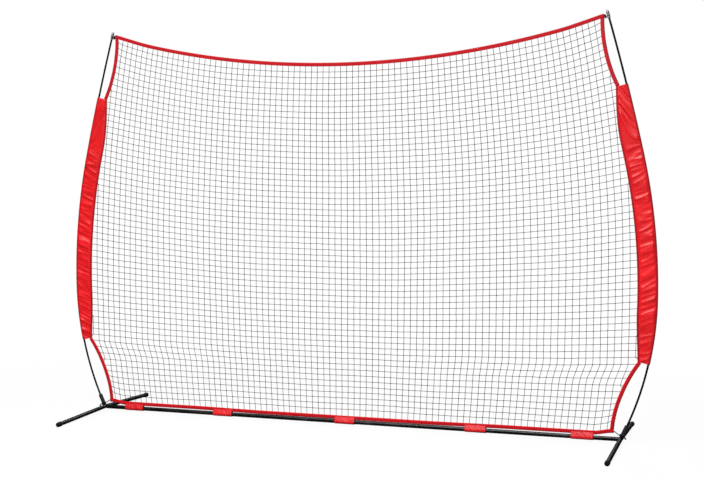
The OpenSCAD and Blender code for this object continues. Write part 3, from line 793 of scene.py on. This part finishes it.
def makeBand(name, finish, centre, length, width, replaced, side=1, seed=0.0, tucked=False):
    v = tapeShape

    def press(share):
        past = (share * length - v["tuckIn"]) / v["tuckRamp"]
        return mix(v["tuckShare"], 1.0, ease(past)) if tucked else 1.0

    place, girth = tapePlace(centre, width, seed, press)

    def mirrored(t, share):
        p = place(t, share)
        return Vector((side * p.x, p.y, p.z))

    rows = max(12, int(length / v["step"]))
    mesh = clothMesh(name, v["columns"], rows, (girth, length), mirrored)
    band = addPiece(mesh, name, finish, "frame", replaced)
    thicken(band, v["ply"])
    stitches = []
    for face in (-1, 1):
        line = []
        for i in range(rows + 1):
            point, away = centre(i / rows)
            p = pulled(point + (v["seamIn"] - width / 2) * away)
            p = p + face * press(i / rows) * (v["fold"] * v["stitchAt"] + v["ply"] / 2) * yAxis
            line.append(Vector((side * p.x, p.y, p.z)))
        stitches += stitchPaths(line, face * stitchSize["lift"] * yAxis)
    return stitches


# The three arcs bow towards the net, so their hollow side is away from it
def onArc(arc):
    return lambda share: (arcShare(arc, share), -arcOutward(arc, share))


def onHem(share):
    x = mix(-layout["hemEnd"], layout["hemEnd"], share)
    slack = tapeShape["hemSag"] * (1 - ease((abs(x) - tapeShape["sagHalf"]) / tapeShape["sagRamp"]))
    return Vector((x, 0, hemZ - slack)), Vector((0, 0, -1))


def sleeveEdge(k):
    k = max(0.0, min(1.0, k))
    return sleevePlace(k, tapeShape["bindingIn"] - sleeveWide(k), 0)


def onSleeveEdge(share):
    step = tapeShape["edgeStep"]
    way = (sleeveEdge(share + step) - sleeveEdge(share - step)).normalized()
    return sleeveEdge(share), Vector((-way.z, 0, way.x))


def arcLength(arc):
    return arc[2] * math.radians(arc[3])


bandW = layout["bandW"]
redStitches += makeBand("topBand", "tape", onArc(topArc), arcLength(topArc), bandW, ["top_band"], 1, 1.0)
redStitches += makeBand("hemBand", "tape", onHem, 2 * layout["hemEnd"], bandW, ["hem_band"], 1, 5.0)
for sideName, side in sides.items():
    redStitches += makeBand("upperBand_" + sideName, "tape", onArc(upperArc), arcLength(upperArc), bandW,
                            ["upper_band_" + sideName], side, 9.0 + side, True)
    redStitches += makeBand("lowerBand_" + sideName, "tape", onArc(lowerArc), arcLength(lowerArc), bandW,
                            ["lower_band_" + sideName], side, 14.0 + side)
    redStitches += makeBand("sleeveBinding_" + sideName, "binding", onSleeveEdge, layout["sleeveLength"],
                            tapeShape["bindingW"], (), side, 19.0 + side)
print("edge bands folded")

threadCurve = strandCurve("bandStitches", redStitches, stitchSize["radius"], 0)
addPiece(threadCurve, "bandStitches", "redThread", "frame")
print("stitches:", len(redStitches))

# The net: knotted twines whose crossings follow the sagging top and the pull of the sleeves
netShape = {
    "cellW": 0.044, "cellH": 0.038, "radius": 0.00175, "knot": 1.65, "knotHalf": 0.0038,
    "topPull": 0.92, "footPull": 0.955, "wander": 0.0055, "jitter": 0.0016, "billow": 0.004,
    "kinkZ": 0.50, "kink": 0.034, "kinkBelow": 0.11, "kinkAbove": 0.40, "kinkX": 1.7,
    "tuck": 0.007, "rise": 0.016, "slack": 0.0011, "middle": 0.96, "stillEdge": 0.12, "edgeGap": 0.004,
    "openCells": 1.6, "edgeSteps": 40,
}
edgeShares = [i / netShape["edgeSteps"] for i in range(netShape["edgeSteps"] + 1)]
edgePoints = [arcShare(lowerArc, 1 - share, halfBand) for share in edgeShares]
edgePoints += [sleevePlace(share, -sleeveWide(share), 0) for share in edgeShares]
edgePoints += [arcShare(upperArc, 1 - share, halfBand) for share in edgeShares]
edgePairs = sorted((p.z, p.x) for p in edgePoints)


def edgeX(z):
    if z <= edgePairs[0][0]:
        return edgePairs[0][1]
    for (z0, x0), (z1, x1) in zip(edgePairs, edgePairs[1:]):
        if z0 <= z <= z1:
            return mix(x0, x1, (z - z0) / max(1e-9, z1 - z0))
    return edgePairs[-1][1]


topLow = corner.z - layout["topSag"] - halfBand
cornerLow = corner.z - halfBand
rowCount = round((topLow - layout["hemTop"]) / netShape["cellH"]) - 1
columnCount = math.ceil(max(x for _, x in edgePairs) / netShape["cellW"])


def rowHeight(i, x):
    share = i / (rowCount + 1)
    sag = (cornerLow - topLow) * share
    base = mix(layout["hemTop"], topLow, share)
    if sag < 1e-6:
        return base
    radius = (corner.x ** 2 + sag ** 2) / (2 * sag)
    rise = netShape["rise"] * share ** 3 * (abs(x) / corner.x) ** 8 if i <= rowCount else 0.0
    return base + radius - math.sqrt(radius ** 2 - x * x) + rise


def uprightX(x, z):
    v = netShape
    share = (z - layout["hemTop"]) / (corner.z - layout["hemTop"])
    pull = mix(v["footPull"], v["topPull"], share)
    bow = (1 - (v["footPull"] + v["topPull"]) / 2) * 4 * share * (1 - share)
    fall = z - v["kinkZ"]
    if fall > 0:
        near = math.exp(-fall / v["kinkAbove"])
    else:
        near = max(0.0, 1 + fall / v["kinkBelow"])
    return x * (pull + bow) + math.copysign(v["kink"] * near * min(1.0, abs(x) / v["kinkX"]) ** 2, x)


def crossing(i, j):
    x = (j + 0.5) * netShape["cellW"]
    z = rowHeight(i, x)
    for _ in range(4):
        z = rowHeight(i, uprightX(x, z))
    return uprightX(x, z), z


def wander(x, z):
    v = netShape
    p = Vector((x * 1.7, z * 1.7, 3.1))
    q = Vector((x * 31, z * 31, 8.3))
    dx = v["wander"] * noise.noise(p) + v["jitter"] * noise.noise(q)
    dz = v["wander"] * noise.noise(p + Vector((7, 3, 1)))
    dz += v["jitter"] * noise.noise(q + Vector((2, 9, 4)))
    dy = v["billow"] * noise.noise(p * 0.8 + Vector((1, 5, 9)))
    inside = min(1.0, max(0.0, (edgeX(z) - abs(x)) / v["stillEdge"]))
    return pulled(Vector((x + dx * inside, dy * inside, z + dz)))


crossings = {}
for i in range(1, rowCount + 1):
    for j in range(-columnCount, columnCount):
        x, z = crossing(i, j)
        if abs(x) < edgeX(z) - netShape["edgeGap"]:
            crossings[i, j] = wander(x, z)


def twinePath(points, first, last):
    v = netShape
    path = [(first, 1.0)]
    for here, before, after in zip(points, [first] + points[:-1], points[1:] + [last]):
        back = (before - here).normalized() * v["knotHalf"]
        on = (after - here).normalized() * v["knotHalf"]
        path += [(here + back, 1.0), (here, v["knot"]), (here + on, 1.0)]
        if after is not last:
            middle = (here + after) / 2
            slack = v["slack"] * noise.noise(middle * 57)
            path.append((middle + Vector((slack, 0.6 * slack, slack)), v["middle"]))
    path.append((last, 1.0))
    return path


def onRightEdge(z, sideSign):
    return pulled(Vector((sideSign * (edgeX(z) + netShape["tuck"]), 0, z)))


rowPaths = []
for i in range(1, rowCount + 1):
    line = [crossings[i, j] for j in range(-columnCount, columnCount) if (i, j) in crossings]
    ends = []
    for sideSign, near in ((-1, line[0]), (1, line[-1])):
        rise = rowHeight(i, edgeX(near.z)) - rowHeight(i, abs(near.x))
        ends.append(onRightEdge(near.z + rise, sideSign))
    rowPaths.append(twinePath(line, ends[0], ends[1]))

uprightPaths = []
for j in range(-columnCount, columnCount):
    line = [crossings[i, j] for i in range(1, rowCount + 1) if (i, j) in crossings]
    if len(line) < 3:
        continue
    sideSign = math.copysign(1, j + 0.5)
    ends = []
    for near, following, isTop in ((line[0], line[1], False), (line[-1], line[-2], True)):
        way = near - following
        end = near + way
        gapTop = rowHeight(rowCount + 1, near.x) - near.z
        gapLeft = gapTop if isTop else near.z - layout["hemTop"]
        pastEdge = abs(end.x) > edgeX(end.z) - netShape["edgeGap"]
        if pastEdge or gapLeft > netShape["openCells"] * netShape["cellH"]:
            ends.append(onRightEdge((near.z + end.z) / 2, sideSign))
        elif isTop:
            lift = gapTop + netShape["tuck"]
            ends.append(pulled(Vector((near.x + way.x * lift / max(0.01, way.z), 0, near.z + lift))))
        else:
            ends.append(pulled(Vector((end.x, 0, layout["hemTop"] - netShape["tuck"]))))
    uprightPaths.append(twinePath(line, ends[0], ends[1]))

halfRows = len(rowPaths) // 2
halfUprights = len(uprightPaths) // 2
for name, paths, node in (
    ("netRowsLower", rowPaths[:halfRows], "net_cross_twines"),
    ("netRowsUpper", rowPaths[halfRows:], "net_cross_twines"),
    ("netUprightsLeft", uprightPaths[:halfUprights], "net_upright_twines"),
    ("netUprightsRight", uprightPaths[halfUprights:], "net_upright_twines"),
):
    addPiece(strandCurve(name, paths, netShape["radius"], 1), name, "twine", "frame", [node])
print("net knotted:", len(rowPaths), "rows,", len(uprightPaths), "uprights,", len(crossings), "knots")

# Straps round the bar: a sewn half behind it and a flap in front that hangs on the fold below
strapShape = {
    "wide": 0.140, "inner": 0.0146, "ply": 0.0017, "columns": 48, "rows": 30, "crease": 0.0022,
    "foldD": 0.0024, "creaseSpan": 0.020, "creaseLean": 0.8, "endHold": 0.4, "middleOut": 0.001,
    "seamColumns": (0.03, 0.97), "seamRows": (0.90, 0.97), "seamSteps": 30, "flapSeed": 40,
    "places": {"far_left": -1.590, "left": -0.900, "middle": 0.0, "right": 0.900, "far_right": 1.590},
}
strapMid = strapShape["inner"] + strapShape["middleOut"]
hemFace = (layout["bandT"] / 2 + layout["gap"], hemZ - layout["barHeight"])
faceReach = math.hypot(*hemFace)
strapRise = math.sqrt(faceReach ** 2 - strapShape["inner"] ** 2)
strapTurn = math.degrees(math.atan2(hemFace[1], hemFace[0]) - math.acos(strapShape["inner"] / faceReach))


def strapLine(way, fromTurn):
    span = math.radians(strapTurn + 90 - fromTurn)
    arc = strapMid * span
    if way < arc:
        angle = math.radians(fromTurn - 90) + way / strapMid
        return strapMid * math.cos(angle), strapMid * math.sin(angle), angle
    angle = math.radians(strapTurn)
    rest = way - arc
    y = strapMid * math.cos(angle) - rest * math.sin(angle)
    z = strapMid * math.sin(angle) + rest * math.cos(angle)
    return y, z, angle


def makeStrap(key, x, front, seed):
    v = strapShape
    fromTurn = 0.0 if front else math.degrees(math.asin((v["foldD"] / 2 + layout["gap"]) / v["inner"]))
    length = strapMid * math.radians(strapTurn + 90 - fromTurn) + strapRise
    face = -1 if front else 1

    def place(across, share, lift=0.0):
        y, z, angle = strapLine(share * length, fromTurn)
        dx = (across - 0.5) * v["wide"]
        hold = math.sin(math.pi * share) * mix(v["endHold"], 1.0, math.sin(math.pi * across))
        slanted = dx + v["creaseLean"] * share * length
        crease = ridge(noise.noise(Vector((slanted / v["creaseSpan"], share, seed))))
        push = v["crease"] * hold * crease + lift
        z += layout["barHeight"]
        return Vector((x + dx, face * (y + push * math.cos(angle)), z + push * math.sin(angle)))

    name = ("flapCloth_" if front else "strapCloth_") + key
    node = ("flap_" if front else "strap_") + key
    body = node + "_body" if front else "frame"
    mesh = clothMesh(name, v["columns"], v["rows"], (v["wide"], length), place)
    strap = addPiece(mesh, name, "strap", body, [node])
    thicken(strap, v["ply"])
    steps = v["seamSteps"]
    lines = []
    for across in v["seamColumns"]:
        lines.append([place(across, i / steps, v["ply"] / 2) for i in range(4, steps)])
    for share in v["seamRows"]:
        lines.append([place(i / steps, share, v["ply"] / 2) for i in range(1, steps)])
    paths = [path for line in lines for path in stitchPaths(line, face * stitchSize["lift"] * yAxis)]
    threads = strandCurve("stitches_" + name, paths, stitchSize["radius"], 0)
    addPiece(threads, "stitches_" + name, "redThread", body)


for number, (key, x) in enumerate(strapShape["places"].items()):
    makeStrap(key, x, False, 3.0 * number)
    makeStrap(key, x, True, 3.0 * number + strapShape["flapSeed"])
print("straps wrapped:", len(strapShape["places"]))

# Tip loops: an elastic loop in each tip's groove, its ends held in a folded tab at the net's corner
tabShape = {
    "wide": 0.026, "ply": 0.0016, "open": 0.0145, "into": 0.006, "flatHalf": 0.0011, "fullHalf": 0.0028,
    "flatTo": 0.007, "fullFrom": 0.013, "columns": 10, "rows": 44, "seams": (0.0185, 0.0235),
    "taperFrom": 0.007, "taperOver": 0.010, "innerShare": 0.5,
    "seamHalf": 0.45, "seamSteps": 8, "seamProud": 0.0002, "seamLift": 0.0003,
}
loopCord = {
    "diameter": 0.0036, "inside": 0.022, "apart": 0.0021, "steps": 40, "slack": 0.0002, "eyeIn": 0.001,
}


def atTip(side, u, y, w):
    p = loopPoint + u * outward(loopLean) + y * yAxis + w * along(loopLean)
    return Vector((side * p.x, p.y, p.z))


def tabHalf(u):
    v = tabShape
    rest = u + layout["tabReach"] + v["into"]
    return mix(v["flatHalf"], v["fullHalf"], ease((rest - v["flatTo"]) / (v["fullFrom"] - v["flatTo"])))


def makeTab(sideName, side):
    v = tabShape
    straight = layout["tabReach"] + v["into"] - v["open"]
    length = 2 * straight + math.pi * v["flatHalf"]

    def place(across, share):
        way = share * length
        depth = min(way, length - way)
        taper = mix(1.0, v["innerShare"], ease((depth - v["taperFrom"]) / v["taperOver"]))
        w = (across - 0.5) * v["wide"] * taper
        w += pullShape["top"] * ease(depth / straight)
        if way < straight or way > length - straight:
            u = -v["open"] - depth
            return atTip(side, u, -tabHalf(u) if way < straight else tabHalf(u), w)
        turn = (way - straight) / v["flatHalf"]
        end = -layout["tabReach"] - v["into"]
        return atTip(side, end - v["flatHalf"] * math.sin(turn), -v["flatHalf"] * math.cos(turn), w)

    mesh = clothMesh("webTab_" + sideName, v["columns"], v["rows"], (v["wide"], length), place)
    tab = addPiece(mesh, "webTab_" + sideName, "webbing", "frame", ["loop_" + sideName])
    thicken(tab, v["ply"])
    paths = []
    for face in (-1, 1):
        for u in v["seams"]:
            y = face * (tabHalf(-u) + v["ply"] / 2 + v["seamProud"])
            lift = pullShape["top"] * ease((u - v["open"]) / straight)
            line = []
            for i in range(v["seamSteps"] + 1):
                w = mix(-v["seamHalf"], v["seamHalf"], i / v["seamSteps"]) * v["wide"]
                line.append(atTip(side, -u, y, w + lift))
            paths += stitchPaths(line, face * v["seamLift"] * yAxis)
    threads = strandCurve("tabStitches_" + sideName, paths, stitchSize["radius"], 0)
    addPiece(threads, "tabStitches_" + sideName, "blackThread", "frame")


def makeLoopCord(sideName, side):
    v = loopCord
    ring = layout["neckR"] + v["slack"] + v["diameter"] / 2
    eye = tabShape["open"] + v["eyeIn"]
    join = math.pi - math.acos(ring / eye)
    route = [atTip(side, -v["inside"], 0, -v["apart"]), atTip(side, -eye, 0, -v["apart"])]
    for i in range(v["steps"] + 1):
        turn = mix(-join, join, i / v["steps"])
        route.append(atTip(side, ring * math.cos(turn), ring * math.sin(turn), 0))
    route += [atTip(side, -eye, 0, v["apart"]), atTip(side, -v["inside"], 0, v["apart"])]
    name = "tipLoop_" + sideName
    curve = strandCurve(name, [[(p, 1.0) for p in route]], v["diameter"] / 2, 3)
    loop = addPiece(curve, name, "cord", "frame")
    length = sum((b - a).length for a, b in zip(route, route[1:]))
    return length


for sideName, side in sides.items():
    makeTab(sideName, side)
    loopLength = makeLoopCord(sideName, side)
print("tip loops made, each", round(loopLength, 4), "m")

# Studio: a white floor that keeps a soft shadow, a white world, and large soft lamps
studio = {
    "floor": (0.32, 0.32, 0.32), "mirrored": (0.02, 0.02, 0.02), "size": 60,
    "glow": 0.84, "bright": 1.11, "fadeFrom": 2.4, "fadeTo": 5.5, "ambient": 0.25, "gloss": 0.04,
}


def makeStudio():
    shape = bmesh.new()
    bmesh.ops.create_grid(shape, x_segments=1, y_segments=1, size=studio["size"] / 2)
    mesh = bpy.data.meshes.new("floor")
    shape.to_mesh(mesh)
    shape.free()
    floor = bpy.data.objects.new("floor", mesh)
    scene.collection.objects.link(floor)
    material = bpy.data.materials.new("floorWhite")
    material.use_nodes = True
    material.node_tree.nodes.clear()
    root = Shade(material.node_tree)
    seen = root.node("ShaderNodeLightPath", None, None, "Is Camera Ray")
    shiny = root.node("ShaderNodeLightPath", None, None, "Is Glossy Ray")
    ground = shiny.blend(studio["floor"], studio["mirrored"])
    matt = root.node("ShaderNodeBsdfDiffuse", None, {"Color": ground})
    away = root.node("ShaderNodeVectorMath", {"operation": "LENGTH"}, {0: root.place()}, "Value")
    far = away.step(studio["fadeFrom"], studio["fadeTo"])
    glow = studio["bright"] - far * (studio["bright"] - 1)
    white = root.node("ShaderNodeEmission", None, {"Color": (1, 1, 1, 1), "Strength": glow})
    share = seen * (far * (1 - studio["glow"]) + studio["glow"])
    surface = root.node("ShaderNodeMixShader", None, {0: share, 1: matt, 2: white})
    root.node("ShaderNodeOutputMaterial", None, {"Surface": surface})
    mesh.materials.append(material)

    world = bpy.data.worlds.new("studioWorld")
    world.use_nodes = True
    world.node_tree.nodes.clear()
    root = Shade(world.node_tree)
    seen = root.node("ShaderNodeLightPath", None, None, "Is Camera Ray")
    shiny = root.node("ShaderNodeLightPath", None, None, "Is Glossy Ray")
    strength = seen * (1 - studio["ambient"]) + shiny * (studio["gloss"] - studio["ambient"])
    strength = strength + studio["ambient"]
    light = root.node("ShaderNodeBackground", None, {"Color": (1, 1, 1, 1), "Strength": strength})
    root.node("ShaderNodeOutputWorld", None, {"Surface": light})
    scene.world = world

    for name, place, aim, size, power, mirrored in (
        ("keyLamp", (-0.6, -3.6, 7.6), (0, 0, 1.2), (5.6, 1.2), 520, True),
        ("fillLamp", (-0.4, -7.0, 6.4), (0, 0, 1.2), (6.4, 0.8), 315, True),
        ("lowLamp", (0.5, -6.0, 0.5), (0.2, 0, 0.1), (2.0, 2.0), 150, False),
        ("backLamp", (1.0, 6.0, 5.5), (0, 0, 1.3), (3.5, 3.5), 240, True),
    ):
        data = bpy.data.lights.new(name, "AREA")
        data.shape = "ELLIPSE"
        data.size, data.size_y = size
        data.energy = power
        lamp = bpy.data.objects.new(name, data)
        scene.collection.objects.link(lamp)
        lamp.visible_glossy = mirrored
        lamp.location = place
        lamp.rotation_euler = (Vector(aim) - Vector(place)).to_track_quat("-Z", "Y").to_euler()


makeStudio()
print("studio lit")
